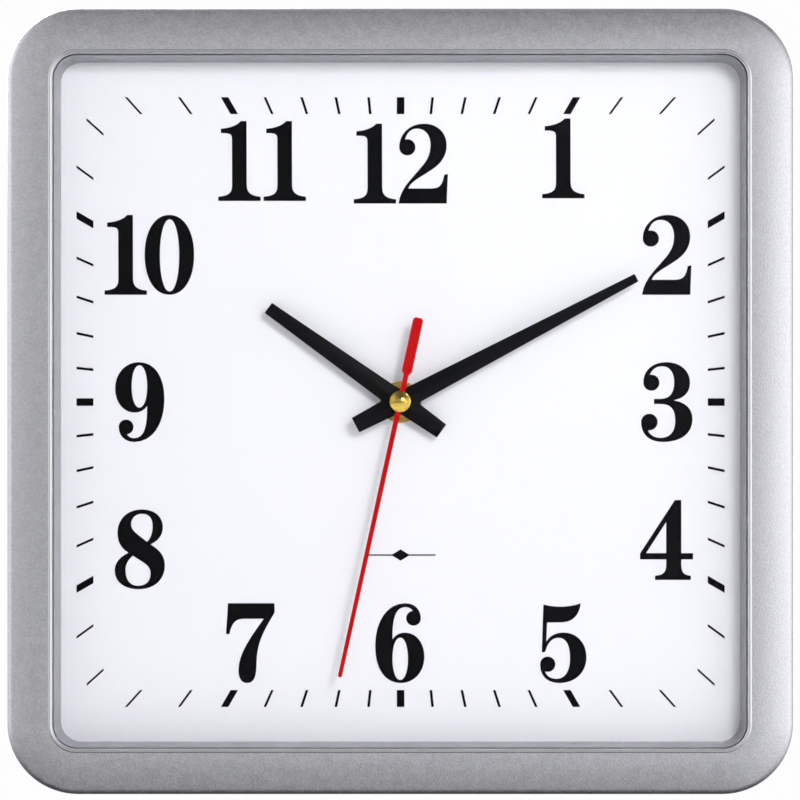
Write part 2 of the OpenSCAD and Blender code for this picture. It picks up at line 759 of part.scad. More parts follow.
// A flat needle with a shouldered counterweight.
module second_hand() {
  neck = 1;
  weight = 1.95;
  tip = 0.8;
  color("red") stand_up() at_clock(second_angle) difference() {
    union() {
      translate([0, 0, second_z[0]]) linear_extrude(second_z[1] - second_z[0]) {
        polygon([[-neck, 0], [-tip, second_len - tip], [tip, second_len - tip], [neck, 0]]);
        translate([0, second_len - tip]) circle(tip);
        circle(3.3);
        polygon([
          [-neck, 0], [neck, 0], [neck, -10.5], [weight, -11.6], [weight, -32],
          [weight - 0.8, -32.8], [-weight + 0.8, -32.8], [-weight, -32],
          [-weight, -11.6], [-neck, -10.5]
        ]);
      }
      rod(at_center, neck + 0.1, minute_ridge + 0.4, second_z[1]);
    }
    rod(at_center, arbor_r - pinch, minute_ridge, second_z[1] + 1);
  }
}

// The polished dome over the hands' hub, with a small flat rim.
module hand_cap() {
  cap_r = 4.05;
  dome_r = 3.6;
  rise = 1.3;
  rim = 0.25;
  ball_r = (dome_r * dome_r + rise * rise) / (2 * rise);
  span = asin(dome_r / ball_r);
  color("gold") stand_up() translate([0, 0, second_z[1]]) rotate_extrude() polygon(concat(
    [[0, 0], [cap_r, 0], [cap_r, rim]],
    arc([0, rim + rise - ball_r], ball_r, 90 - span, 90, 8)
  ));
}

// ------------------------------------------------- wheels on the hands' axis

module seconds_arbor() {
  color("lightgray") stand_up() rod(at_center, arbor_r, pivot_z, second_z[1]);
}

module seconds_wheel() {
  color("white") stand_up() difference() {
    union() {
      gear(seconds_teeth, m_step, 0, seconds_wheel_z);
      gear(leaves, m_third, 0, seconds_pinion_z);
    }
    flat_bore(arbor_r, press, [seconds_wheel_z[0], seconds_pinion_z[1]]);
    spokes(3.6, 1, seconds_wheel_z);
  }
}

module minute_pipe() {
  color("gold") stand_up() difference() {
    union() {
      rod(at_center, minute_neck_r, 15.5, 18.45);
      rod(at_center, minute_pipe_r, 18.4, minute_ridge + 0.2);
    }
    rod(at_center, arbor_r + run, 15, minute_ridge + 1);
  }
}

module cannon_pinion() {
  color("white") stand_up() difference() {
    gear(cannon_leaves, m_motion, 0, motion_z);
    flat_bore(minute_neck_r, press, motion_z);
  }
}

module center_wheel() {
  color("white") stand_up() difference() {
    gear(center_teeth, m_center, f_center, center_wheel_z);
    flat_bore(minute_neck_r, 0.035, center_wheel_z);
    spokes(4.6, 1.5, center_wheel_z);
  }
}

module hour_pipe() {
  color("gold") stand_up() difference() {
    rod(at_center, hour_pipe_r, hour_wheel_z[0], hour_ridge + 0.2);
    rod(at_center, minute_pipe_r + run, 18, hour_ridge + 1);
  }
}

module hour_wheel() {
  color("white") stand_up() difference() {
    gear(hour_teeth, m_hour, f_hour, hour_wheel_z);
    flat_bore(hour_pipe_r, press, hour_wheel_z);
  }
}

// --------------------------------------------------- the rest of the train

module third_wheel() {
  color("white") stand_up() translate(at_third) difference() {
    union() {
      gear(third_teeth, m_third, f_third_wheel, third_wheel_z);
      gear(leaves, m_center, 0, third_pinion_z);
    }
    flat_bore(pivot_r, press, [third_wheel_z[0], third_pinion_z[1]]);
    spokes(4.4, 1.5, third_wheel_z);
  }
}

module third_arbor() {
  color("lightgray") stand_up() rod(at_third, pivot_r, pivot_z, cover_z + 0.7);
}

module step_wheel() {
  color("white") stand_up() translate(at_step) difference() {
    union() {
      gear(step_teeth, m_rotor, 0, step_wheel_z);
      gear(leaves, m_step, f_step_pinion, step_pinion_z);
    }
    flat_bore(pivot_r, press, [step_wheel_z[0], step_pinion_z[1]]);
    spokes(2.9, 0.8, step_wheel_z);
  }
}

module step_arbor() {
  color("lightgray") stand_up() rod(at_step, pivot_r, pivot_z, middle_z[1] - 0.1);
}

module rotor_magnet() {
  color("dimgray") stand_up() translate(at_rotor) difference() {
    rod(at_center, 2, magnet_z[0], magnet_z[1]);
    rod(at_center, pivot_r - 0.005, magnet_z[0] - 1, magnet_z[1] + 1);
  }
}

module rotor_pinion() {
  color("white") stand_up() translate(at_rotor) difference() {
    gear(leaves, m_rotor, f_rotor, rotor_pinion_z);
    flat_bore(pivot_r, press, rotor_pinion_z);
  }
}

module rotor_arbor() {
  color("lightgray") stand_up() rod(at_rotor, pivot_r, pivot_z, middle_z[1] - 0.1);
}

module minute_wheel() {
  color("white") stand_up() translate(at_minute) difference() {
    union() {
      gear(minute_teeth, m_motion, f_minute_wheel, motion_z);
      gear(minute_leaves, m_hour, 0, minute_pinion_z);
    }
    flat_bore(post_r, 0.03, [motion_z[0], minute_pinion_z[1]]);
    spokes(3.3, 1.1, motion_z);
  }
}

module set_pinion() {
  color("white") stand_up() translate(at_knob) difference() {
    gear(cannon_leaves, m_motion, f_knob, motion_z);
    flat_bore(knob_shaft_r, press, motion_z);
  }
}

// The knob behind the case that sets the hands, with a knurled rim.
module set_knob() {
  knob_r = 6.5;
  knob_z = 1.8;
  ribs = 24;
  color("white") stand_up() translate(at_knob) {
    translate([0, 0, knob_z]) linear_extrude(case_z0 - 0.2 - knob_z) polygon([
      for (i = [0:2 * ribs - 1]) let (a = 180 * i / ribs, r = knob_r - (i % 2) * 0.5)
        r * [cos(a), sin(a)]
    ]);
    rod(at_center, knob_shaft_r, case_z0 - 0.3, motion_z[1]);
    rod(at_center, knob_tip_r, motion_z[1] - 0.1, cover_z + 0.7);
  }
}

// ------------------------------------------------- motor and electronics

coil_x = [-8, 10];
flange_t = 0.8;
tube_r = 2.1;

module coil_bobbin() {
  flange_r = 3.55;
  color("ivory") stand_up() translate([0, core_y, core_z]) rotate([0, 90, 0]) difference() {
    union() {
      for (x = [coil_x[0], coil_x[1] - flange_t]) rod(at_center, flange_r, x, x + flange_t);
      rod(at_center, tube_r, coil_x[0], coil_x[1]);
    }
    translate([-0.85, -1.55, coil_x[0] - 1]) cube([1.7, 3.1, coil_x[1] - coil_x[0] + 2]);
  }
}

module coil_winding() {
  color("chocolate") stand_up() translate([0, core_y, core_z]) rotate([0, 90, 0]) difference() {
    rod(at_center, 3.35, coil_x[0] + flange_t, coil_x[1] - flange_t);
    rod(at_center, tube_r, coil_x[0], coil_x[1]);
  }
}

stator_z = [8.6, 9.4];

module coil_core() {
  color("gray") stand_up()
    block([-13, 15], [core_y - 1.5, core_y + 1.5], [stator_z[1], core_z + 0.8]);
}

module stator_plate() {
  color("gray") stand_up() difference() {
    union() {
      block([-13, 15], [7.6, 11], stator_z);
      for (x = [-13, 11]) block([x, x + 4], [10, core_y + 1.5], stator_z);
      rod(at_rotor, 4, stator_z[0], stator_z[1]);
    }
    rod(at_rotor, 2.4, stator_z[0] - 1, stator_z[1] + 1);
  }
}

board_x = [-25.5, -17.5];
board_z = [6.8, 7.6];

module circuit_board() {
  color("darkgreen") stand_up() block(board_x, [-9, 24], board_z);
}

module chip_blob() {
  blob_r = 3.4;
  color("black") stand_up() translate([-21.5, 6, board_z[1]]) rotate_extrude()
    polygon(concat([[0, 0]], arc([0, -2.4], blob_r, 45, 90, 6)));
}

module quartz_crystal() {
  color("silver") stand_up() translate([-21.5, 13, board_z[1] + 1.05]) rotate([-90, 0, 0])
    cylinder(h = 6, r = 1.05);
}

strip_t = 0.3;
finger_z = [board_z[1], board_z[1] + strip_t];

// A dimple in a contact, pressed out towards the cell.
module dimple(x, towards) {
  r = 2;
  translate([x, cell_y, cell_z]) rotate([0, 90 * towards, 0])
    cylinder(h = 0.62, r1 = r, r2 = r - 0.8);
}

module contact_negative() {
  x = [-chamber_x + 0.1, -chamber_x + 0.1 + strip_t];
  color("khaki") stand_up() {
    block(x, [bay_y[0] + 2, bay_y[1] + eps], [8, 17]);
    block(x, [bay_y[1], -6], tab_z);
    block(x, [-8, -6], [board_z[1], tab_z[1]]);
    block([x[0], -22], [-8, -6], finger_z);
    dimple(x[1] - eps, 1);
  }
}

module contact_positive() {
  x = [chamber_x - 0.1 - strip_t, chamber_x - 0.1];
  strip_y = [-10.2, -10.2 + strip_t];
  color("khaki") stand_up() {
    block(x, [bay_y[0] + 2, bay_y[1] + eps], [8, 17]);
    block(x, [bay_y[1], strip_y[1]], tab_z);
    block([-20, x[1]], strip_y, [board_z[1], tab_z[0] + 1.5]);
    block([-20, -18], [strip_y[0], -7], finger_z);
    dimple(x[0] + eps, -1);
  }
}

cell_x = [-25.2, 24.3];
sleeve_t = 0.2;
sleeve_gap = 0.4;

module along_cell(x0) {
  translate([x0, cell_y, cell_z]) rotate([0, 90, 0]) children();
}

module cell_can() {
  color("silver") stand_up() along_cell(cell_x[0])
    cylinder(h = cell_x[1] - cell_x[0], r = cell_d / 2 - sleeve_t);
}

module cell_sleeve() {
  color("steelblue") stand_up() along_cell(cell_x[0] + sleeve_gap) difference() {
    cylinder(h = cell_x[1] - cell_x[0] - 2 * sleeve_gap, r = cell_d / 2);
    translate([0, 0, -1]) cylinder(h = cell_x[1] - cell_x[0] + 2, r = cell_d / 2 - sleeve_t);
  }
}

module cell_nub() {
  color("silver") stand_up() along_cell(cell_x[1]) cylinder(h = 1, r = 2.75);
}

front_frame();
window_glass();
spacer_frame();
dial_sheet();
dial_numerals();
dial_marks();
back_shell();
case_screws();
rubber_washer();
threaded_bush();
brass_washer();
hex_nut();
movement_base();
movement_cover();
middle_plate();
hour_hand();
minute_hand();
second_hand();
hand_cap();
seconds_arbor();
seconds_wheel();
minute_pipe();
cannon_pinion();
hour_pipe();
hour_wheel();
center_wheel();
third_wheel();
third_arbor();
step_wheel();
step_arbor();
rotor_magnet();
rotor_pinion();
rotor_arbor();
minute_wheel();
set_pinion();
set_knob();
coil_bobbin();
coil_winding();
coil_core();
stator_plate();
circuit_board();
chip_blob();
quartz_crystal();
contact_positive();
contact_negative();
cell_can();
cell_sleeve();
cell_nub();
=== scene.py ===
from math import asin, atan2, cos, degrees, pi, radians, sin, tan

import bmesh
import bpy
from mathutils import Matrix, Vector


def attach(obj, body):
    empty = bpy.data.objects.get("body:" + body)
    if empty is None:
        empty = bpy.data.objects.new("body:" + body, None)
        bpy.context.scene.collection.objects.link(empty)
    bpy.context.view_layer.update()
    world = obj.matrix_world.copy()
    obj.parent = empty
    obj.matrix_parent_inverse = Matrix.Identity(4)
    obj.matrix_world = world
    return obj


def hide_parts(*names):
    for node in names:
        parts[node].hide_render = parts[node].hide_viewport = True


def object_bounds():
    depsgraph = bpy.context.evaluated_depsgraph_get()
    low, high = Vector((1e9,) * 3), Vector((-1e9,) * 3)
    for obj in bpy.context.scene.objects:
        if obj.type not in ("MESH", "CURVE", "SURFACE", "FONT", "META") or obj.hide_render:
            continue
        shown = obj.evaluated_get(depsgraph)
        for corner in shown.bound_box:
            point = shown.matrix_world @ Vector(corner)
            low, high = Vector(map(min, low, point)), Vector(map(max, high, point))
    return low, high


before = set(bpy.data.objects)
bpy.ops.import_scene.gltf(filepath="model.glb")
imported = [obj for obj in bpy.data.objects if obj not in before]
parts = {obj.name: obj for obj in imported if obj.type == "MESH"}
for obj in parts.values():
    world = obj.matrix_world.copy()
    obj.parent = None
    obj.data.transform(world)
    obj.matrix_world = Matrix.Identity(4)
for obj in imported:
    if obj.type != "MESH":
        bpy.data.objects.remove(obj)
cad_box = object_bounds()
scene = bpy.context.scene

# ------------------------------------------------------------------ studio
# The clock hangs clear of a pale floor, in a bright room. A lamp above and to
# the right throws the hands' shadows, and another one lights the back.

EYE = Vector((0.0150, -1.0200, -0.0260))
VIEW_WIDTH = 0.3040
SENSOR = 36.0
AIM = Vector((0.0000, 0.0004))

camera_data = bpy.data.cameras.new("camera")
camera_data.sensor_width = SENSOR
camera_data.lens = SENSOR * (cad_box[0].y - EYE.y) / VIEW_WIDTH
camera_data.shift_x = (AIM.x - EYE.x) / VIEW_WIDTH
camera_data.shift_y = (AIM.y - EYE.z) / VIEW_WIDTH
camera = bpy.data.objects.new("camera", camera_data)
camera.location = EYE
camera.rotation_euler = (radians(90), 0, 0)
scene.collection.objects.link(camera)
scene.camera = camera
scene.view_settings.view_transform = "Standard"


def soft_box(name, place, size, watts, mirrored=True):
    """A rectangular lamp that faces the middle of the clock."""
    lamp = bpy.data.lights.new(name, "AREA")
    lamp.shape = "RECTANGLE"
    lamp.size, lamp.size_y = size
    lamp.energy = watts
    stand = bpy.data.objects.new(name, lamp)
    stand.location = place
    stand.rotation_euler = (-Vector(place)).to_track_quat("-Z", "Y").to_euler()
    stand.visible_camera = False
    stand.visible_glossy = mirrored
    scene.collection.objects.link(stand)


soft_box("key", (0.42, -1.10, 0.42), (0.30, 0.30), 4.65, mirrored=False)
soft_box("box_behind", (-0.60, 1.30, 0.70), (0.90, 0.90), 20)

# The room's own light comes from broad soft windows: the strong ones on either
# hand, weaker ones above, below and behind. Where the camera looks past the
# clock it is plain white. Each window has its degrees round to the right, its
# degrees up, how narrow it is and how bright.
WINDOWS = (
    (-95, 15, 5, 1.30),
    (-40, 10, 6, 0.60),
    (5, 5, 60, 0.40),
    (40, 5, 50, 1.60),
    (40, 0, 5, 0.90),
    (90, 0, 6, 1.30),
    (0, 90, 6, 0.30),
    (0, -45, 6, 0.20),
    (180, 10, 2, 0.40),
)
world = bpy.data.worlds.new("room")
scene.world = world
world.use_nodes = True
room_tree = world.node_tree
room_tree.nodes.clear()


def add_math(tree, operation, first, second=0.0):
    """A Math node whose two inputs are sockets or numbers."""
    node = tree.nodes.new("ShaderNodeMath")
    node.operation = operation
    for socket, value in zip(node.inputs, (first, second)):
        if isinstance(value, (int, float)):
            socket.default_value = value
        else:
            tree.links.new(value, socket)
    return node.outputs[0]


room_place = room_tree.nodes.new("ShaderNodeTexCoord")
room_level = 0.0
for across, up, narrow, bright in WINDOWS:
    facing = room_tree.nodes.new("ShaderNodeVectorMath")
    facing.operation = "DOT_PRODUCT"
    facing.inputs[1].default_value = (
        sin(radians(across)) * cos(radians(up)),
        -cos(radians(across)) * cos(radians(up)),
        sin(radians(up)),
    )
    room_tree.links.new(room_place.outputs["Generated"], facing.inputs[0])
    toward = add_math(room_tree, "MAXIMUM", facing.outputs["Value"], 0.0)
    share = add_math(room_tree, "MULTIPLY", add_math(room_tree, "POWER", toward, narrow), bright)
    room_level = add_math(room_tree, "ADD", share, room_level)
room = room_tree.nodes.new("ShaderNodeBackground")
room.inputs["Color"].default_value = (0.97, 0.97, 1.0, 1)
room_tree.links.new(room_level, room.inputs["Strength"])
backdrop = room_tree.nodes.new("ShaderNodeBackground")
backdrop.inputs["Color"].default_value = (0.985, 0.985, 0.985, 1)
eye_only = room_tree.nodes.new("ShaderNodeLightPath")
either = room_tree.nodes.new("ShaderNodeMixShader")
sky_out = room_tree.nodes.new("ShaderNodeOutputWorld")
room_tree.links.new(eye_only.outputs["Is Camera Ray"], either.inputs[0])
room_tree.links.new(room.outputs[0], either.inputs[1])
room_tree.links.new(backdrop.outputs[0], either.inputs[2])
room_tree.links.new(either.outputs[0], sky_out.inputs["Surface"])


# --------------------------------------------------------------- the floor
# A plain matt sheet, far enough below that nothing rests on it.


def add_group(name, inputs, outputs):
    """An empty node group with the named number or vector sockets."""
    group = bpy.data.node_groups.new(name, "ShaderNodeTree")
    for word, kind in inputs:
        group.interface.new_socket(name=word, in_out="INPUT", socket_type="NodeSocket" + kind)
    for word, kind in outputs:
        group.interface.new_socket(name=word, in_out="OUTPUT", socket_type="NodeSocket" + kind)
    return group, group.nodes.new("NodeGroupInput"), group.nodes.new("NodeGroupOutput")


# Surface grain: a fine pebble, as on moulded plastic, with broad soft patches.
# A finish takes its whole roughness range between the two mottle levels.
MOTTLE = (0.3, 0.7)
COAT_ROUGH = 0.12
grain_group, grain_in, grain_out = add_group(
    "surface_grain",
    (("Place", "Vector"), ("Grains", "Float"), ("Patches", "Float")),
    (("Tone", "Float"), ("Fleck", "Float"), ("Height", "Float")),
)
patch_noise = grain_group.nodes.new("ShaderNodeTexNoise")
patch_noise.inputs["Detail"].default_value = 3.0
grain_group.links.new(grain_in.outputs["Place"], patch_noise.inputs["Vector"])
grain_group.links.new(grain_in.outputs["Patches"], patch_noise.inputs["Scale"])
grain_noise = grain_group.nodes.new("ShaderNodeTexNoise")
grain_noise.inputs["Detail"].default_value = 2.0
grain_group.links.new(grain_in.outputs["Place"], grain_noise.inputs["Vector"])
grain_group.links.new(grain_in.outputs["Grains"], grain_noise.inputs["Scale"])
grain_cells = grain_group.nodes.new("ShaderNodeTexVoronoi")
grain_group.links.new(grain_in.outputs["Place"], grain_cells.inputs["Vector"])
grain_group.links.new(grain_in.outputs["Grains"], grain_cells.inputs["Scale"])
cell_axes = grain_group.nodes.new("ShaderNodeSeparateXYZ")
grain_group.links.new(grain_cells.outputs["Color"], cell_axes.inputs[0])
grain_height = add_math(grain_group, "ADD", grain_noise.outputs[0], grain_cells.outputs["Distance"])
grain_group.links.new(patch_noise.outputs[0], grain_out.inputs["Tone"])
grain_group.links.new(cell_axes.outputs[0], grain_out.inputs["Fleck"])
grain_group.links.new(grain_height, grain_out.inputs["Height"])


def make_finish(
    name,
    low_tone,
    high_tone,
    rough,
    metal=0.0,
    grains=2500.0,
    patches=30.0,
    fleck=0.15,
    depth=0.00001,
    coat=0.0,
    specular=0.5,
):
    """A finish mottled between two tones, with its own grain, flecks and roughness."""
    finish = bpy.data.materials.new(name)
    finish.use_nodes = True
    tree = finish.node_tree
    shader = tree.nodes["Principled BSDF"]
    place = tree.nodes.new("ShaderNodeTexCoord")
    grain = tree.nodes.new("ShaderNodeGroup")
    grain.node_tree = grain_group
    grain.inputs["Grains"].default_value = grains
    grain.inputs["Patches"].default_value = patches
    tree.links.new(place.outputs["Object"], grain.inputs["Place"])
    share = add_math(tree, "MULTIPLY", grain.outputs["Fleck"], fleck)
    rest = add_math(tree, "MULTIPLY", grain.outputs["Tone"], 1 - fleck)
    mixed = add_math(tree, "ADD", share, rest)
    tones = tree.nodes.new("ShaderNodeMix")
    tones.data_type = "RGBA"
    tones.inputs["A"].default_value = (*low_tone, 1)
    tones.inputs["B"].default_value = (*high_tone, 1)
    tree.links.new(mixed, tones.inputs["Factor"])
    tree.links.new(tones.outputs["Result"], shader.inputs["Base Color"])
    sheen = tree.nodes.new("ShaderNodeMapRange")
    for word, value in zip(("From Min", "From Max", "To Min", "To Max"), MOTTLE + rough):
        sheen.inputs[word].default_value = value
    tree.links.new(mixed, sheen.inputs["Value"])
    tree.links.new(sheen.outputs[0], shader.inputs["Roughness"])
    bump = tree.nodes.new("ShaderNodeBump")
    bump.inputs["Strength"].default_value = 1.0
    bump.inputs["Distance"].default_value = depth
    tree.links.new(grain.outputs["Height"], bump.inputs["Height"])
    tree.links.new(bump.outputs[0], shader.inputs["Normal"])
    shader.inputs["Metallic"].default_value = metal
    shader.inputs["Coat Weight"].default_value = coat
    shader.inputs["Coat Roughness"].default_value = COAT_ROUGH
    shader.inputs["Specular IOR Level"].default_value = specular
    return finish


FLOOR_Z = -0.42
FLOOR_SIDE = 3.6
FLOOR_GLOW = 0.55

floor_bm = bmesh.new()
bmesh.ops.create_grid(floor_bm, x_segments=1, y_segments=1, size=FLOOR_SIDE / 2)
bmesh.ops.translate(floor_bm, verts=floor_bm.verts, vec=(0, 0, FLOOR_Z))
floor_mesh = bpy.data.meshes.new("floor")
floor_bm.to_mesh(floor_mesh)
floor_bm.free()
floor_paint = make_finish(
    "floor_paint", (0.90, 0.90, 0.90), (0.94, 0.94, 0.94), (0.7, 0.8), patches=3
)
floor_glow = floor_paint.node_tree.nodes["Principled BSDF"]
floor_glow.inputs["Emission Color"].default_value = (1, 1, 1, 1)
floor_glow.inputs["Emission Strength"].default_value = FLOOR_GLOW
floor_mesh.materials.append(floor_paint)
floor = bpy.data.objects.new("floor", floor_mesh)
scene.collection.objects.link(floor)
floor.visible_diffuse = False
floor.visible_glossy = False
floor.visible_shadow = False

# ------------------------------------------------------------- front frame
# One plastic moulding, square with round corners: a skirt, a rolled edge, a
# broad crowned face and a thin bead at the window. It is sprayed with a
# silver paint whose fine flakes show, and screws to the back shell.

SIZE = round(cad_box[1].x - cad_box[0].x, 6)
DEPTH = round(cad_box[1].y - cad_box[0].y, 6)
CORNER = 0.027
FACE = 0.0177
SKIRT = 0.0024
ROLL = 0.0032
BEAD, PROUD = 0.0008, 0.0004
TILT = 15
CREASE = 38
GLASS_BACK, GLASS_FRONT = 0.0364, 0.0384
RIB, RIB_DROP = (0.0132, 0.0144), 0.0024
ROOF_IN, ROOF_OUT, ROOF_OUT_U = 0.0029, 0.0041, 0.0052
SKIRT_SINK = 0.0070
EASED, CUT = 0.0008, 0.0004
FACE_STEPS, ROLL_STEPS = 16, 12
PLATE_FRONT = 0.0245
CORNER_STEPS = 18


def set_piece(bm, name, body, finish, stands_for, crease=CREASE):
    """Closes a mesh, turns its faces outwards and puts it on its body."""
    bmesh.ops.remove_doubles(bm, verts=bm.verts, dist=1e-6)
    bmesh.ops.recalc_face_normals(bm, faces=bm.faces)
    mesh = bpy.data.meshes.new(name)
    bm.to_mesh(mesh)
    bm.free()
    mesh.shade_smooth()
    mesh.set_sharp_from_angle(angle=radians(crease))
    mesh.materials.append(finish)
    piece = bpy.data.objects.new(name, mesh)
    scene.collection.objects.link(piece)
    even = piece.modifiers.new("even_normals", "WEIGHTED_NORMAL")
    even.keep_sharp = True
    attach(piece, body)
    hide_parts(*stands_for)
    return piece


def bow(centre, radius, start, end, steps):
    """Points on an arc, in degrees counted from the inward direction."""
    return [
        (
            centre[0] + radius * cos(radians(start + (end - start) * i / steps)),
            centre[1] + radius * sin(radians(start + (end - start) * i / steps)),
        )
        for i in range(steps + 1)
    ]


def carry_round(bm, profile, corner, steps):
    """Carries a closed profile of (inset, height) points round the case."""
    straight = SIZE / 2 - corner
    verts = [bm.verts.new((-SIZE / 2 + inset, -height, -straight)) for inset, height in profile]
    edges = [bm.edges.new(pair) for pair in zip(verts, verts[1:] + verts[:1])]
    for turn in range(4):
        quarter = Matrix.Rotation(radians(90 * turn), 3, "Y")
        ahead = bmesh.ops.extrude_edge_only(bm, edges=edges)["geom"]
        verts = [item for item in ahead if isinstance(item, bmesh.types.BMVert)]
        bmesh.ops.translate(bm, verts=verts, vec=quarter @ Vector((0, 0, 2 * straight)))
        ends = set(verts)
        edges = [edge for edge in bm.edges if edge.verts[0] in ends and edge.verts[1] in ends]
        swung = bmesh.ops.spin(
            bm,
            geom=verts + edges,
            cent=quarter @ Vector((-straight, 0, straight)),
            axis=(0, 1, 0),
            angle=radians(90),
            steps=steps,
            use_merge=False,
        )["geom_last"]
        edges = [item for item in swung if isinstance(item, bmesh.types.BMEdge)]


def turn_round(bm, profile, centre, steps):
    """Turns a profile of (radius, height) points about an axis square to the dial."""
    verts = [bm.verts.new((centre[0] + radius, -height, centre[1])) for radius, height in profile]
    edges = [bm.edges.new(pair) for pair in zip(verts, verts[1:])]
    if profile[0][0] > 0:
        edges.append(bm.edges.new((verts[-1], verts[0])))
    bmesh.ops.spin(
        bm,
        geom=verts + edges,
        cent=(centre[0], 0, centre[1]),
        axis=(0, 1, 0),
        angle=2 * pi,
        steps=steps,
        use_merge=True,
    )


tilt = radians(TILT)
face_top = DEPTH - PROUD
bead_u = FACE - BEAD
foot = asin((BEAD - PROUD) / BEAD)
face_u = (ROLL * (1 - sin(tilt)), bead_u - BEAD * cos(foot))
face_width = face_u[1] - face_u[0]
fall = tan(tilt) * face_width / 2
roll_height = face_top - fall - ROLL * cos(tilt)
face_profile = (
    [(0.0, EASED), (0.0, roll_height / 2)]
    + bow((ROLL, roll_height), ROLL, 180, 90 + TILT, ROLL_STEPS)
    + [
        (
            face_u[1] - face_width * step / FACE_STEPS,
            face_top - fall * (step / FACE_STEPS) ** 2,
        )
        for step in range(FACE_STEPS - 1, -1, -1)
    ]
    + bow((bead_u, DEPTH - BEAD), BEAD, 180 - degrees(foot), 0, ROLL_STEPS)[1:]
    + [(FACE, GLASS_FRONT), (RIB[1], GLASS_FRONT), (RIB[1], GLASS_BACK - RIB_DROP)]
    + [(RIB[0], GLASS_BACK - RIB_DROP), (RIB[0], DEPTH - ROOF_IN)]
    + [(ROOF_OUT_U, DEPTH - ROOF_OUT), (SKIRT, DEPTH - SKIRT_SINK)]
    + [(SKIRT, CUT), (SKIRT - CUT, 0.0), (EASED, 0.0)]
)
silver_paint = make_finish(
    "silver_paint",
    (0.66, 0.665, 0.69),
    (0.97, 0.975, 1.00),
    (0.34, 0.46),
    metal=0.95,
    grains=1900,
    patches=260,
    fleck=0.5,
    depth=0.00004,
    coat=0.1,
)

# The bead is painted lighter where it stands proud of the face, a painted highlight, and is made
# smoother there.
BEAD_HIGHLIGHT_TONE, BEAD_HIGHLIGHT_SHARE, BEAD_SMOOTH = (0.92, 0.92, 0.93, 1), 0.75, 0.05
bead_tree = silver_paint.node_tree
bead_shader = bead_tree.nodes["Principled BSDF"]
bead_place = bead_tree.nodes.new("ShaderNodeTexCoord")
bead_axes = bead_tree.nodes.new("ShaderNodeSeparateXYZ")
bead_tree.links.new(bead_place.outputs["Object"], bead_axes.inputs[0])
bead_highlight = bead_tree.nodes.new("ShaderNodeMapRange")
bead_highlight.inputs["From Min"].default_value = -(DEPTH - PROUD)
bead_highlight.inputs["From Max"].default_value = -(DEPTH - PROUD / 4)
bead_highlight.inputs["To Max"].default_value = BEAD_HIGHLIGHT_SHARE
bead_tree.links.new(bead_axes.outputs["Y"], bead_highlight.inputs["Value"])
# Painted highlight: the bead's colour is mixed towards a light tone.
bead_highlight_mix = bead_tree.nodes.new("ShaderNodeMix")
bead_highlight_mix.data_type = "RGBA"
bead_highlight_mix.inputs["B"].default_value = BEAD_HIGHLIGHT_TONE
bead_tree.links.new(bead_highlight.outputs[0], bead_highlight_mix.inputs["Factor"])
bead_tree.links.new(
    bead_shader.inputs["Base Color"].links[0].from_socket, bead_highlight_mix.inputs["A"]
)
bead_tree.links.new(bead_highlight_mix.outputs["Result"], bead_shader.inputs["Base Color"])
smoother = add_math(bead_tree, "MULTIPLY", bead_highlight.outputs[0], BEAD_SMOOTH)
bead_tree.links.new(
    add_math(
        bead_tree,
        "SUBTRACT",
        bead_shader.inputs["Roughness"].links[0].from_socket,
        smoother,
    ),
    bead_shader.inputs["Roughness"],
)
frame_bm = bmesh.new()
carry_round(frame_bm, face_profile, CORNER, CORNER_STEPS)

# Eight bosses behind the face take the screws.
BOSS, BOSS_HOLE, BOSS_SINK = 0.0034, 0.00135, 0.0035
BOSS_STEPS = 20
SCREW_INSET = 0.008
side = SIZE / 2 - SCREW_INSET
slant = SIZE / 2 - CORNER + (CORNER - SCREW_INSET) * cos(radians(45))
screw_places = [(side, 0), (0, side), (-side, 0), (0, -side)]
screw_places += [(slant * a, slant * b) for a in (-1, 1) for b in (-1, 1)]
for place in screw_places:
    turn_round(
        frame_bm,
        [
            (BOSS, PLATE_FRONT),
            (BOSS, DEPTH - BOSS_SINK),
            (BOSS_HOLE, DEPTH - BOSS_SINK),
            (BOSS_HOLE, PLATE_FRONT),
        ],
        place,
        BOSS_STEPS,
    )
set_piece(frame_bm, "frame_moulding", "case", silver_paint, ["front_frame"])

# ---------------------------------------------------------- window's spacer
# A moulded ring, painted a darker grey than the frame, which holds the glass
# off the dial. Its inner wall, which leans out towards the dial, shows.

WINDOW = 0.019
SPACER_LEAN = 0.0009
SPACER_WALL = 0.00125
SPACER_EDGE = 0.0147
SPACER_CUT = 0.0003
DIAL_FRONT = 0.0249
spacer_paint = make_finish(
    "spacer_paint",
    (0.20, 0.20, 0.225),
    (0.27, 0.27, 0.30),
    (0.16, 0.26),
    grains=2600,
    patches=60,
    fleck=0.25,
    depth=0.000006,
)
spacer_bm = bmesh.new()
carry_round(
    spacer_bm,
    [
        (SPACER_EDGE, GLASS_BACK),
        (WINDOW - SPACER_LEAN - SPACER_CUT, GLASS_BACK),
        (WINDOW - SPACER_LEAN, GLASS_BACK - SPACER_CUT),
        (WINDOW, DIAL_FRONT),
        (SPACER_EDGE, DIAL_FRONT),
        (SPACER_EDGE, DIAL_FRONT + SPACER_WALL),
        (WINDOW - SPACER_WALL, DIAL_FRONT + SPACER_WALL),
        (WINDOW - SPACER_LEAN - SPACER_WALL, GLASS_BACK - SPACER_WALL),
        (SPACER_EDGE, GLASS_BACK - SPACER_WALL),
    ],
    CORNER,
    CORNER_STEPS,
)
set_piece(spacer_bm, "window_spacer", "case", spacer_paint, ["spacer_frame"])

# ------------------------------------------------------------ window glass
# A plain flat pane, its edge ground, clipped between the frame and spacer.

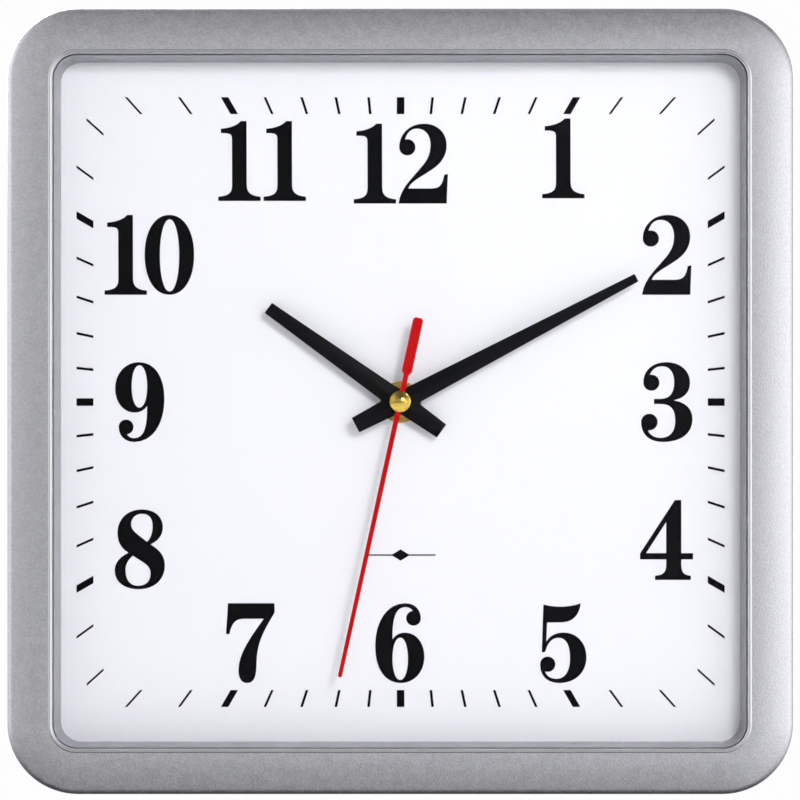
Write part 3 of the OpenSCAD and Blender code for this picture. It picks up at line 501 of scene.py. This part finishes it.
GLASS_EDGE = 0.0146
GRIND, EDGE_TURN = 0.0003, 60
HAZE = 0.003
pane_glass = bpy.data.materials.new("window_glass")
pane_glass.use_nodes = True
glass_tree = pane_glass.node_tree
glass_shader = glass_tree.nodes["Principled BSDF"]
glass_shader.inputs["Base Color"].default_value = (0.985, 0.995, 0.99, 1)
for word, value in (("Transmission Weight", 1.0), ("IOR", 1.1), ("Specular IOR Level", 0.012)):
    glass_shader.inputs[word].default_value = value
glass_place = glass_tree.nodes.new("ShaderNodeTexCoord")
glass_grain = glass_tree.nodes.new("ShaderNodeGroup")
glass_grain.node_tree = grain_group
glass_grain.inputs["Grains"].default_value = 400
glass_grain.inputs["Patches"].default_value = 25
glass_tree.links.new(glass_place.outputs["Object"], glass_grain.inputs["Place"])
glass_haze = glass_tree.nodes.new("ShaderNodeMapRange")
glass_haze.inputs["To Max"].default_value = HAZE
glass_tree.links.new(glass_grain.outputs["Tone"], glass_haze.inputs["Value"])
glass_tree.links.new(glass_haze.outputs[0], glass_shader.inputs["Roughness"])
glass_bm = bmesh.new()
bmesh.ops.create_cube(glass_bm, size=1)
bmesh.ops.scale(
    glass_bm,
    verts=glass_bm.verts,
    vec=(SIZE - 2 * GLASS_EDGE, GLASS_FRONT - GLASS_BACK, SIZE - 2 * GLASS_EDGE),
)
bmesh.ops.translate(glass_bm, verts=glass_bm.verts, vec=(0, -(GLASS_FRONT + GLASS_BACK) / 2, 0))
bmesh.ops.bevel(
    glass_bm,
    geom=[e for e in glass_bm.edges if abs(e.verts[0].co.y - e.verts[1].co.y) > GRIND],
    offset=CORNER - GLASS_EDGE,
    affect="EDGES",
    segments=CORNER_STEPS,
    profile=0.5,
    material=-1,
)
bmesh.ops.bevel(
    glass_bm,
    geom=[e for e in glass_bm.edges if e.calc_face_angle(0) > radians(EDGE_TURN)],
    offset=GRIND,
    affect="EDGES",
    segments=1,
    profile=0.5,
    material=-1,
)
pane = set_piece(glass_bm, "window_pane", "case", pane_glass, ["window_glass"])
pane.visible_shadow = False

# --------------------------------------------------------- dial and its ink
# A printed card on the back shell's plate: smooth coated white paper, the
# numerals, the square minute track and a small ornament in black ink.


def wear(node, finish):
    """Gives a carried-over part its finish."""
    mesh = parts[node].data
    mesh.materials.clear()
    mesh.materials.append(finish)


dial_card = make_finish(
    "dial_card",
    (0.750, 0.742, 0.785),
    (0.770, 0.762, 0.805),
    (0.50, 0.58),
    grains=5200,
    patches=18,
    fleck=0.3,
    depth=0.0000025,
    specular=0.3,
)
wear("dial_sheet", dial_card)
dial_ink = make_finish(
    "dial_ink",
    (0.0015, 0.0015, 0.002),
    (0.003, 0.003, 0.004),
    (0.40, 0.52),
    grains=6500,
    patches=90,
    fleck=0.4,
    depth=0.000002,
    specular=0.04,
)
wear("dial_numerals", dial_ink)
wear("dial_marks", dial_ink)

# ------------------------------------------------------- hour, minute hands
# Strips of thin aluminium folded along the middle and painted black, pressed
# on pipes. Their cut edges are slightly rounded.

FLAT_WITHIN, SHARP_FROM = 1.0, 32
ROUND_STEPS = 2
HAND_ROUND = 0.00012


def soften(node, name, finish, radius, body="case"):
    """A copy of a part with its sharp edges rounded, which stands for it."""
    bm = bmesh.new()
    bm.from_mesh(parts[node].data)
    bmesh.ops.remove_doubles(bm, verts=bm.verts, dist=2e-6)
    bmesh.ops.dissolve_limit(
        bm,
        angle_limit=radians(FLAT_WITHIN),
        verts=bm.verts,
        edges=bm.edges,
        delimit={"NORMAL"},
    )
    sharp = [
        edge
        for edge in bm.edges
        if len(edge.link_faces) == 2 and edge.calc_face_angle() > radians(SHARP_FROM)
    ]
    bmesh.ops.bevel(
        bm,
        geom=sharp,
        offset=radius,
        affect="EDGES",
        segments=ROUND_STEPS,
        profile=0.5,
        material=-1,
        clamp_overlap=True,
    )
    return set_piece(bm, name, body, finish, [node])


hand_black = make_finish(
    "hand_black",
    (0.0015, 0.0015, 0.002),
    (0.004, 0.004, 0.005),
    (0.30, 0.42),
    grains=4200,
    patches=70,
    fleck=0.3,
    depth=0.000004,
    specular=0.06,
)
for node, name, body in (
    ("hour_hand", "hour_strip", "hour_group"),
    ("minute_hand", "minute_strip", "minute_group"),
):
    soften(node, name, hand_black, HAND_ROUND, body)

# -------------------------------------------------------------- second hand
# A flat stamped needle with a shouldered counterweight, painted red.

hand_red = make_finish(
    "hand_red",
    (0.38, 0.0005, 0.001),
    (0.46, 0.001, 0.002),
    (0.28, 0.40),
    grains=4200,
    patches=60,
    fleck=0.3,
    depth=0.000004,
    specular=0.08,
)
soften("second_hand", "second_needle", hand_red, 0.00008, "second_group")

# --------------------------------------------------- cap, washer, nut, bush
# Turned brass. The cap over the hub is a polished dome with a small rim. The
# washer and the nut under the hands clamp the dial to the movement's bush.

lathe_group, lathe_in, lathe_out = add_group(
    "lathe_marks",
    (("Place", "Vector"), ("Rings", "Float")),
    (("Height", "Float"),),
)
lathe_axes = lathe_group.nodes.new("ShaderNodeSeparateXYZ")
lathe_group.links.new(lathe_in.outputs["Place"], lathe_axes.inputs[0])
across = add_math(lathe_group, "POWER", lathe_axes.outputs["X"], 2.0)
upwards = add_math(lathe_group, "POWER", lathe_axes.outputs["Z"], 2.0)
out_from_axis = add_math(lathe_group, "SQRT", add_math(lathe_group, "ADD", across, upwards))
ring_count = add_math(lathe_group, "MULTIPLY", out_from_axis, lathe_in.outputs["Rings"])
ring_noise = lathe_group.nodes.new("ShaderNodeTexNoise")
ring_noise.noise_dimensions = "1D"
ring_noise.inputs["Scale"].default_value = 1.0
ring_noise.inputs["Detail"].default_value = 2.0
lathe_group.links.new(ring_count, ring_noise.inputs["W"])
lathe_group.links.new(ring_noise.outputs[0], lathe_out.inputs["Height"])


def add_lathe_marks(finish, rings, depth):
    """Cuts fine turning rings into a metal finish, over its grain."""
    tree = finish.node_tree
    shader = tree.nodes["Principled BSDF"]
    place = tree.nodes.new("ShaderNodeTexCoord")
    marks = tree.nodes.new("ShaderNodeGroup")
    marks.node_tree = lathe_group
    marks.inputs["Rings"].default_value = rings
    bump = tree.nodes.new("ShaderNodeBump")
    bump.inputs["Distance"].default_value = depth
    tree.links.new(place.outputs["Object"], marks.inputs["Place"])
    tree.links.new(marks.outputs["Height"], bump.inputs["Height"])
    tree.links.new(shader.inputs["Normal"].links[0].from_socket, bump.inputs["Normal"])
    tree.links.new(bump.outputs[0], shader.inputs["Normal"])


cap_brass = make_finish(
    "cap_brass",
    (0.32, 0.17, 0.02),
    (0.98, 0.72, 0.16),
    (0.10, 0.20),
    metal=1.0,
    grains=1500,
    patches=520,
    fleck=0.2,
    depth=0.000003,
)
add_lathe_marks(cap_brass, 6000, 0.000002)
CAP, DOME, RISE, RIM = 0.00405, 0.0036, 0.0013, 0.00025
RIM_BACK_CUT, RIM_FRONT_CUT = 0.00006, 0.00008
SECOND_FRONT = 0.0337
DOME_STEPS, CAP_STEPS, WASHER_STEPS, BUSH_STEPS = 14, 64, 72, 56
ball = (DOME * DOME + RISE * RISE) / (2 * RISE)
dome_centre = SECOND_FRONT + RIM + RISE - ball
span = 90 - 2 * degrees(atan2(RISE, DOME))
cap_bm = bmesh.new()
turn_round(
    cap_bm,
    [(0, SECOND_FRONT), (CAP - RIM_BACK_CUT, SECOND_FRONT)]
    + [(CAP, SECOND_FRONT + RIM_BACK_CUT), (CAP, SECOND_FRONT + RIM - RIM_FRONT_CUT)]
    + [(CAP - RIM_FRONT_CUT, SECOND_FRONT + RIM)]
    + bow((0, dome_centre), ball, span, 90, DOME_STEPS)[:-1]
    + [(0, dome_centre + ball)],
    (0, 0),
    CAP_STEPS,
)
set_piece(cap_bm, "brass_cap", "second_group", cap_brass, ["hand_cap"], 50)

# The washer, nut and bush take a darker brass than the cap: painted shade for their place under the
# hands.
shaded_brass = make_finish(
    "shaded_brass",
    (0.24, 0.14, 0.04),
    (0.80, 0.54, 0.17),
    (0.18, 0.34),
    metal=1.0,
    grains=2600,
    patches=300,
    fleck=0.25,
    depth=0.000004,
)
add_lathe_marks(shaded_brass, 5000, 0.000003)
WASHER, BUSH = 0.0080, 0.00395
WASHER_FRONT, NUT_FRONT = 0.0254, 0.0274
WASHER_GAP, WASHER_BACK_CUT, WASHER_FRONT_CUT = 0.0001, 0.0001, 0.00015
BUSH_BACK, BUSH_FRONT = 0.0197, 0.0284
BUSH_BORE, FLANGE, FLANGE_FRONT = 0.0026, 0.005, 0.0206
THREAD_PITCH, THREAD_DEEP, BUSH_CUT = 0.0005, 0.0002, 0.0003
washer_bm = bmesh.new()
turn_round(
    washer_bm,
    [
        (BUSH + WASHER_GAP, DIAL_FRONT),
        (WASHER - WASHER_BACK_CUT, DIAL_FRONT),
        (WASHER, DIAL_FRONT + WASHER_BACK_CUT),
        (WASHER, WASHER_FRONT - WASHER_FRONT_CUT),
        (WASHER - WASHER_FRONT_CUT, WASHER_FRONT),
        (BUSH + WASHER_GAP + WASHER_FRONT_CUT, WASHER_FRONT),
        (BUSH + WASHER_GAP, WASHER_FRONT - WASHER_FRONT_CUT),
    ],
    (0, 0),
    WASHER_STEPS,
)
set_piece(washer_bm, "dial_washer", "case", shaded_brass, ["brass_washer"])
soften("hex_nut", "bush_nut", shaded_brass, 0.00025)

bush_profile = [(BUSH_BORE, BUSH_BACK), (FLANGE, BUSH_BACK), (FLANGE, FLANGE_FRONT)]
bush_profile += [(BUSH, FLANGE_FRONT), (BUSH, WASHER_FRONT)]
thread_count = int((BUSH_FRONT - NUT_FRONT) / THREAD_PITCH)
for turn in range(thread_count):
    root = NUT_FRONT + turn * THREAD_PITCH
    bush_profile += [(BUSH - THREAD_DEEP, root), (BUSH, root + THREAD_PITCH / 2)]
bush_profile += [(BUSH - BUSH_CUT, BUSH_FRONT), (BUSH_BORE, BUSH_FRONT)]
bush_bm = bmesh.new()
turn_round(bush_bm, bush_profile, (0, 0), BUSH_STEPS)
set_piece(bush_bm, "hub_bush", "case", shaded_brass, ["threaded_bush"])

# -------------------------------------------------------------- back shell
# A black moulded tray: the plate behind the dial, a rim, a cradle round the
# movement, eight ribs and a raised keyhole hanger. Its faces are spark-grained.

black_abs = make_finish(
    "black_abs",
    (0.016, 0.016, 0.017),
    (0.028, 0.028, 0.030),
    (0.46, 0.62),
    grains=1700,
    patches=26,
    fleck=0.25,
    depth=0.000035,
)
soften("back_shell", "back_tray", black_abs, 0.0003)

# ------------------------------------------------------------- case screws
# Eight zinc-plated self-tapping screws with cross recesses, seen from behind.

zinc = make_finish(
    "zinc_plate",
    (0.52, 0.53, 0.54),
    (0.72, 0.73, 0.72),
    (0.22, 0.40),
    metal=1.0,
    grains=2200,
    patches=500,
    fleck=0.3,
    depth=0.000006,
)
soften("case_screws", "tray_screws", zinc, 0.0002)

# ------------------------------------------------------- movement's housing
# The battery movement's box and cover, grey-black plastic with a fine matt
# texture, a rubber washer in front, and the amber bridge between the wheels.

movement_black = make_finish(
    "movement_black",
    (0.022, 0.022, 0.024),
    (0.036, 0.036, 0.039),
    (0.50, 0.66),
    grains=3000,
    patches=45,
    fleck=0.3,
    depth=0.00002,
)
soften("movement_base", "movement_box", movement_black, 0.00025)
wear("movement_cover", movement_black)
rubber = make_finish(
    "soft_rubber", (0.012, 0.012, 0.012), (0.02, 0.02, 0.02), (0.7, 0.85), grains=2400, patches=80
)
wear("rubber_washer", rubber)
bridge_plastic = make_finish(
    "bridge_plastic", (0.42, 0.33, 0.18), (0.50, 0.40, 0.23), (0.42, 0.5), grains=2600
)
wear("middle_plate", bridge_plastic)

# ------------------------------------------------------------ setting knob
# The white knob at the back that turns the hands, its rim knurled.

knob_white = make_finish(
    "knob_white",
    (0.66, 0.65, 0.61),
    (0.74, 0.73, 0.69),
    (0.38, 0.5),
    grains=2600,
    patches=60,
    fleck=0.2,
    depth=0.000008,
)
soften("set_knob", "knurled_knob", knob_white, 0.00018, "setting_knob")

# ----------------------------------------------------------- wheels, arbors
# The wheel train is moulded in white acetal, on polished steel arbors.

acetal = make_finish(
    "white_acetal",
    (0.70, 0.69, 0.66),
    (0.80, 0.79, 0.76),
    (0.34, 0.44),
    grains=3600,
    patches=120,
    fleck=0.2,
    depth=0.000004,
)
for node in ("seconds_wheel", "center_wheel", "third_wheel", "step_wheel", "rotor_pinion"):
    wear(node, acetal)
for node in ("cannon_pinion", "hour_wheel", "minute_wheel", "set_pinion"):
    wear(node, acetal)
for node in ("minute_pipe", "hour_pipe"):
    wear(node, acetal)
steel = make_finish(
    "polished_steel",
    (0.56, 0.56, 0.57),
    (0.66, 0.66, 0.67),
    (0.12, 0.24),
    metal=1.0,
    grains=5000,
    patches=400,
    depth=0.000002,
)
for node in ("seconds_arbor", "third_arbor", "step_arbor", "rotor_arbor"):
    wear(node, steel)

# --------------------------------------------------- motor and electronics
# The step motor's magnet, soft iron plates, bobbin and enamelled wire, and
# the small green board with its potted chip, crystal and sprung contacts.

magnet_grey = make_finish(
    "sintered_magnet", (0.10, 0.10, 0.11), (0.17, 0.17, 0.18), (0.4, 0.6), metal=0.6, grains=5200
)
wear("rotor_magnet", magnet_grey)
soft_iron = make_finish(
    "soft_iron", (0.36, 0.36, 0.37), (0.46, 0.46, 0.47), (0.3, 0.45), metal=1.0, patches=200
)
wear("coil_core", soft_iron)
wear("stator_plate", soft_iron)
bobbin_cream = make_finish("bobbin_cream", (0.62, 0.56, 0.42), (0.70, 0.64, 0.50), (0.4, 0.5))
wear("coil_bobbin", bobbin_cream)
board_green = make_finish(
    "board_green", (0.012, 0.10, 0.035), (0.02, 0.14, 0.05), (0.28, 0.4), patches=260
)
wear("circuit_board", board_green)
potting_black = make_finish(
    "potting_black", (0.008, 0.008, 0.009), (0.016, 0.016, 0.017), (0.2, 0.34)
)
wear("chip_blob", potting_black)
crystal_tin = make_finish(
    "crystal_tin", (0.56, 0.56, 0.58), (0.70, 0.70, 0.72), (0.2, 0.34), metal=1.0, patches=300
)
wear("quartz_crystal", crystal_tin)
spring_brass = make_finish(
    "spring_brass",
    (0.66, 0.56, 0.36),
    (0.78, 0.68, 0.46),
    (0.2, 0.34),
    metal=1.0,
    grains=3200,
    patches=260,
)
wear("contact_positive", spring_brass)
wear("contact_negative", spring_brass)

CORE_Z, CORE_Y = 0.0102, 0.0215
WIND_X = (-0.0072, 0.0092)
WIND_R = (0.0021, 0.00335)
TURNS, WIRE_STEPS = 46, 36
copper = make_finish(
    "enamelled_copper",
    (0.50, 0.16, 0.06),
    (0.66, 0.24, 0.09),
    (0.24, 0.36),
    metal=0.9,
    grains=5200,
    patches=260,
)


def turn_about_x(bm, profile, centre, steps):
    """Turns a profile of (radius, x) points about an axis that runs left to right."""
    verts = [bm.verts.new((x, centre[0], centre[1] + radius)) for radius, x in profile]
    edges = [bm.edges.new(pair) for pair in zip(verts, verts[1:])]
    if profile[0][0] > 0:
        edges.append(bm.edges.new((verts[-1], verts[0])))
    bmesh.ops.spin(
        bm,
        geom=verts + edges,
        cent=(0, centre[0], centre[1]),
        axis=(1, 0, 0),
        angle=2 * pi,
        steps=steps,
        use_merge=True,
    )


wire = (WIND_X[1] - WIND_X[0]) / TURNS
winding_profile = [(WIND_R[0], WIND_X[0]), (WIND_R[1] - wire / 2, WIND_X[0])]
for turn in range(TURNS):
    winding_profile += [
        (WIND_R[1], WIND_X[0] + (turn + 0.5) * wire),
        (WIND_R[1] - wire / 2, WIND_X[0] + (turn + 1) * wire),
    ]
winding_profile += [(WIND_R[0], WIND_X[1])]
winding_bm = bmesh.new()
turn_about_x(winding_bm, winding_profile, (-CORE_Z, CORE_Y), WIRE_STEPS)
set_piece(winding_bm, "wound_wire", "case", copper, ["coil_winding"], 70)

# --------------------------------------------------------------------- cell
# The AA cell in its bay: a bright steel can with rolled shoulders, a plastic
# sleeve in two plain colours, and the positive nub.

CELL_X = (-0.0252, 0.0243)
CELL_Z, CELL_Y = 0.0126, -0.0196
CELL_R = 0.00725
SLEEVE = 0.0002
CELL_STEPS, NUB_STEPS = 64, 40
BASE_R, GROOVE_R, BEAD_R, GROOVE = 0.0042, 0.0046, 0.0058, 0.00025
NUB_R, NUB_H, NUB_SEAT, NUB_SINK = 0.0030, 0.001, 0.0033, 0.0002
# Round each end: how far in from the can's side, and how far from its end.
BASE_SHOULDER = ((0.0006, 0.00005), (0.0001, 0.0003), (0, 0.0008))
NUB_SHOULDER = ((0, 0.0009), (0.00015, 0.0003), (0.0007, 0), (0.0012, 0.0002))
NUB_CROWN = ((0.00028, 0.0003), (0.0005, 0.00005), (0.0008, 0))
cell_axis = (-CELL_Z, CELL_Y)
base_end, nub_end = CELL_X
bright_can = make_finish(
    "bright_can",
    (0.62, 0.62, 0.63),
    (0.74, 0.74, 0.75),
    (0.16, 0.28),
    metal=1.0,
    grains=2600,
    patches=180,
    depth=0.000004,
)
can_r = CELL_R - SLEEVE
can_bm = bmesh.new()
turn_about_x(
    can_bm,
    [(0, base_end), (BASE_R, base_end), (GROOVE_R, base_end + GROOVE)]
    + [(BEAD_R, base_end + GROOVE)]
    + [(can_r - inward, base_end + along) for inward, along in BASE_SHOULDER]
    + [(can_r - inward, nub_end - along) for inward, along in NUB_SHOULDER]
    + [(NUB_SEAT, nub_end - NUB_SINK), (0, nub_end - NUB_SINK)],
    cell_axis,
    CELL_STEPS,
)
set_piece(can_bm, "cell_steel_can", "cell", bright_can, ["cell_can"])
nub_bm = bmesh.new()
nub_top = nub_end + NUB_H
turn_about_x(
    nub_bm,
    [(0, nub_end - NUB_SINK), (NUB_R, nub_end - NUB_SINK)]
    + [(NUB_R - NUB_SINK, nub_end + NUB_SINK / 2)]
    + [(NUB_R - inward, nub_top - along) for inward, along in NUB_CROWN]
    + [(0, nub_top)],
    cell_axis,
    NUB_STEPS,
)
set_piece(nub_bm, "cell_end_nub", "cell", bright_can, ["cell_nub"])

SLEEVE_SHORT = 0.0004
FOLD_IN, FOLD_ALONG = 0.0001, 0.0002
BAND_X, BAND_TONE = 0.0125, (0.62, 0.47, 0.20, 1)
sleeve_print = make_finish(
    "sleeve_print",
    (0.030, 0.075, 0.165),
    (0.040, 0.095, 0.20),
    (0.22, 0.32),
    grains=2600,
    patches=120,
    fleck=0.2,
    depth=0.000004,
    coat=0.4,
)
sleeve_tree = sleeve_print.node_tree
band_axes = sleeve_tree.nodes.new("ShaderNodeSeparateXYZ")
sleeve_place = sleeve_tree.nodes.new("ShaderNodeTexCoord")
sleeve_tree.links.new(sleeve_place.outputs["Object"], band_axes.inputs[0])
band = add_math(sleeve_tree, "GREATER_THAN", band_axes.outputs["X"], BAND_X)
band_mix = sleeve_tree.nodes.new("ShaderNodeMix")
band_mix.data_type = "RGBA"
band_mix.inputs["B"].default_value = BAND_TONE
sleeve_shader = sleeve_tree.nodes["Principled BSDF"]
sleeve_tone = sleeve_shader.inputs["Base Color"].links[0].from_socket
sleeve_tree.links.new(band, band_mix.inputs["Factor"])
sleeve_tree.links.new(sleeve_tone, band_mix.inputs["A"])
sleeve_tree.links.new(band_mix.outputs["Result"], sleeve_shader.inputs["Base Color"])
sleeve_back, sleeve_front = base_end + SLEEVE_SHORT, nub_end - SLEEVE_SHORT
sleeve_bm = bmesh.new()
turn_about_x(
    sleeve_bm,
    [(can_r, sleeve_back), (CELL_R - FOLD_IN, sleeve_back), (CELL_R, sleeve_back + FOLD_ALONG)]
    + [(CELL_R, sleeve_front - FOLD_ALONG), (CELL_R - FOLD_IN, sleeve_front)]
    + [(can_r, sleeve_front)],
    cell_axis,
    CELL_STEPS,
)
set_piece(sleeve_bm, "cell_wrap", "cell", sleeve_print, ["cell_sleeve"])
